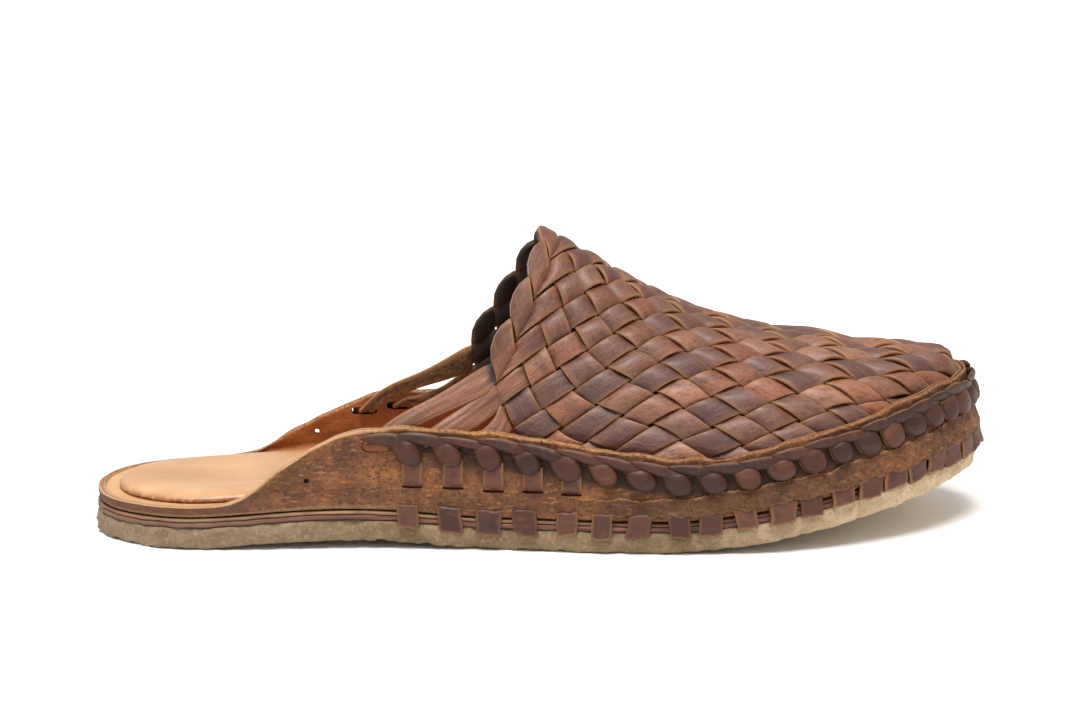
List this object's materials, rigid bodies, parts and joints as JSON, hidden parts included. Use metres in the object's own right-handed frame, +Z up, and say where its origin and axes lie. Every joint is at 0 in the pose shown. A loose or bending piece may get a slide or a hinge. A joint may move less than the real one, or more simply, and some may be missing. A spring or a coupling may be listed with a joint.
{
  "type": "woven leather slipper",
  "caption": "Backless right slipper: plaited leather-strip vamp laced to a turned-up leather rand, padded insole, leather midsole and crepe outsole.",
  "frame": {"origin": "on the floor under the middle of the shoe's box", "axes": "+X towards the toe, +Y towards the inner side of the foot, +Z up"},
  "size_m": [0.2878, 0.1062, 0.0951],
  "materials": {
    "crepe": "matt crumbed crepe",
    "midsole_leather": "cut leather edge",
    "rand_leather": "suede outside, smooth inside",
    "insole_leather": "smooth vegetable-tanned",
    "strip_leather": "satin waxed strip",
    "lacing_leather": "satin waxed thong",
    "tab_leather": "satin strip end"
  },
  "bodies": {
    "root": {"outsole": "crepe", "midsole": "midsole_leather", "footbed_rand": "rand_leather", "insole": "insole_leather", "vamp": "strip_leather", "edge_lacing": "lacing_leather", "lace_tab_outer_01": "tab_leather", "lace_tab_outer_02": "tab_leather", "lace_tab_outer_03": "tab_leather", "lace_tab_outer_04": "tab_leather", "lace_tab_outer_05": "tab_leather", "lace_tab_outer_06": "tab_leather", "lace_tab_outer_07": "tab_leather", "lace_tab_outer_08": "tab_leather", "lace_tab_outer_09": "tab_leather", "lace_tab_outer_10": "tab_leather", "lace_tab_outer_11": "tab_leather", "lace_tab_outer_12": "tab_leather", "lace_tab_outer_13": "tab_leather", "lace_tab_outer_14": "tab_leather", "lace_tab_outer_15": "tab_leather", "lace_tab_outer_16": "tab_leather", "lace_tab_outer_17": "tab_leather", "lace_tab_outer_18": "tab_leather", "lace_tab_outer_19": "tab_leather", "lace_tab_outer_20": "tab_leather", "lace_tab_outer_21": "tab_leather", "lace_tab_inner_01": "tab_leather", "lace_tab_inner_02": "tab_leather", "lace_tab_inner_03": "tab_leather", "lace_tab_inner_04": "tab_leather", "lace_tab_inner_05": "tab_leather", "lace_tab_inner_06": "tab_leather", "lace_tab_inner_07": "tab_leather", "lace_tab_inner_08": "tab_leather", "lace_tab_inner_09": "tab_leather", "lace_tab_inner_10": "tab_leather", "lace_tab_inner_11": "tab_leather", "lace_tab_inner_12": "tab_leather", "lace_tab_inner_13": "tab_leather", "lace_tab_inner_14": "tab_leather", "lace_tab_inner_15": "tab_leather", "lace_tab_inner_16": "tab_leather", "lace_tab_inner_17": "tab_leather", "lace_tab_inner_18": "tab_leather", "lace_tab_inner_19": "tab_leather", "lace_tab_inner_20": "tab_leather", "lace_tab_inner_21": "tab_leather"}
  },
  "joints": []
}
